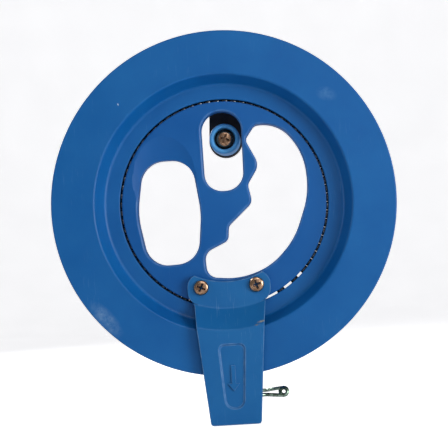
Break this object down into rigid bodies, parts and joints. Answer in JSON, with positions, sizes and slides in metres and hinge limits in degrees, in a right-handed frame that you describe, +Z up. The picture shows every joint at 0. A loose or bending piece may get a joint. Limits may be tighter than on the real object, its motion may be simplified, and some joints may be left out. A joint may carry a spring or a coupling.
{
  "type": "hand-grip line reel",
  "caption": "Hand-held line reel: a spool wheel on loose balls round a finger-grip disc, with guide arm, wire line guide and folding crank.",
  "frame": {"origin": "on the wheel's axle, in the back face of the grip disc", "axes": "+Y along the axle towards the back, +Z up the crank slot, guide arm along -Z"},
  "size_m": [0.18, 0.0536, 0.2049],
  "materials": {
    "blue_plastic": "moulded blue ABS, satin, lightly scuffed",
    "black_plastic": "moulded black nylon",
    "bronze_plating": "bronze-coloured plating on steel screws",
    "bright_steel": "bright steel",
    "bearing_steel": "polished bearing steel",
    "spring_wire": "plated spring wire with a faint green tint"
  },
  "bodies": {
    "grip": {"grip_disc": "blue_plastic", "guide_arm": "blue_plastic", "guide_arm_screw_left": "bronze_plating", "guide_arm_screw_right": "bronze_plating", "guide_bracket": "blue_plastic", "guide_bracket_screw_1": "bronze_plating", "guide_bracket_screw_2": "bronze_plating", "line_guide": "spring_wire"},
    "wheel": {"front_rim": "blue_plastic", "rear_rim": "blue_plastic", "drum_ring": "blue_plastic", "rim_screw_1": "bronze_plating", "rim_screw_2": "bronze_plating", "rim_screw_3": "bronze_plating", "rim_screw_4": "bronze_plating", "rim_screw_5": "bronze_plating", "rim_screw_6": "bronze_plating", "line_anchor_screw": "bronze_plating", "hinge_pin": "bright_steel", "hinge_pin_clip": "bright_steel", "hinge_washer_left": "bright_steel", "hinge_washer_right": "bright_steel"},
    "ball_row": {"race_balls": "bearing_steel"},
    "crank": {"crank_arm": "black_plastic", "knob_screw": "bronze_plating", "knob_washer": "bright_steel"},
    "knob": {"knob_sleeve": "blue_plastic"}
  },
  "joints": [
    {"name": "wheel_spin", "type": "hinge", "parent": "grip", "child": "wheel", "pos_m": [0, -0.005, 0], "axis": [0, 1, 0], "continuous": true},
    {"name": "ball_orbit", "type": "hinge", "parent": "grip", "child": "ball_row", "pos_m": [0, -0.005, 0], "axis": [0, 1, 0], "continuous": true},
    {"name": "crank_fold", "type": "hinge", "parent": "wheel", "child": "crank", "pos_m": [0.00334, 0.024, 0.0579], "axis": [0.9983, 0, -0.0576], "range_deg": [0, 180]},
    {"name": "knob_spin", "type": "hinge", "parent": "crank", "child": "knob", "pos_m": [0.00201, 0.01, 0.03494], "axis": [0, 1, 0], "continuous": true}
  ],
  "couplings": [
    {"joint": "ball_orbit", "follows": "wheel_spin", "ratio": 0.5207}
  ]
}
